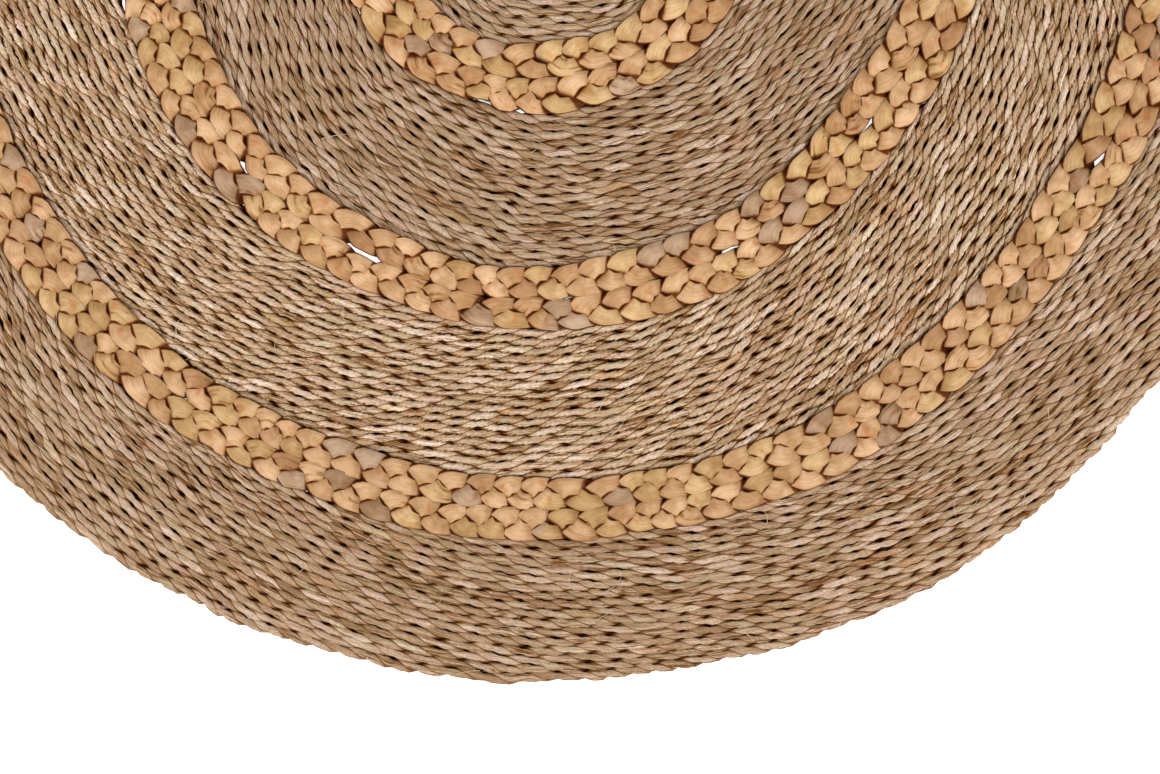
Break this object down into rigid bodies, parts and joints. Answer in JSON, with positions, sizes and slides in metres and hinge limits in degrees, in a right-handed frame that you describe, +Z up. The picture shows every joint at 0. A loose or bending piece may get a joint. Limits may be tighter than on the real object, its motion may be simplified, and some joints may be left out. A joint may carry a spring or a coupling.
{
  "type": "rug",
  "caption": "Round natural-fibre floor rug of coiled seagrass rope with double rings of flat water-hyacinth plait.",
  "frame": {"origin": "middle of the rug on its flat underside", "axes": "+Z up, out of the rug's face; -Y towards the bottom of the picture, +X to its right"},
  "size_m": [1.1994, 1.1932, 0.0098],
  "materials": {
    "seagrass": "dry twisted seagrass rope, matt, grey-tan with greener and browner blades",
    "hyacinth": "dry plaited water-hyacinth stem, low sheen, honey with greyer and redder pads"
  },
  "bodies": {
    "root": {"centre_coil": "seagrass", "inner_plait_a": "hyacinth", "inner_plait_b": "hyacinth", "second_coil": "seagrass", "middle_plait_a": "hyacinth", "middle_plait_b": "hyacinth", "third_coil": "seagrass", "outer_plait_a": "hyacinth", "outer_plait_b": "hyacinth", "edge_coil": "seagrass"}
  },
  "joints": []
}
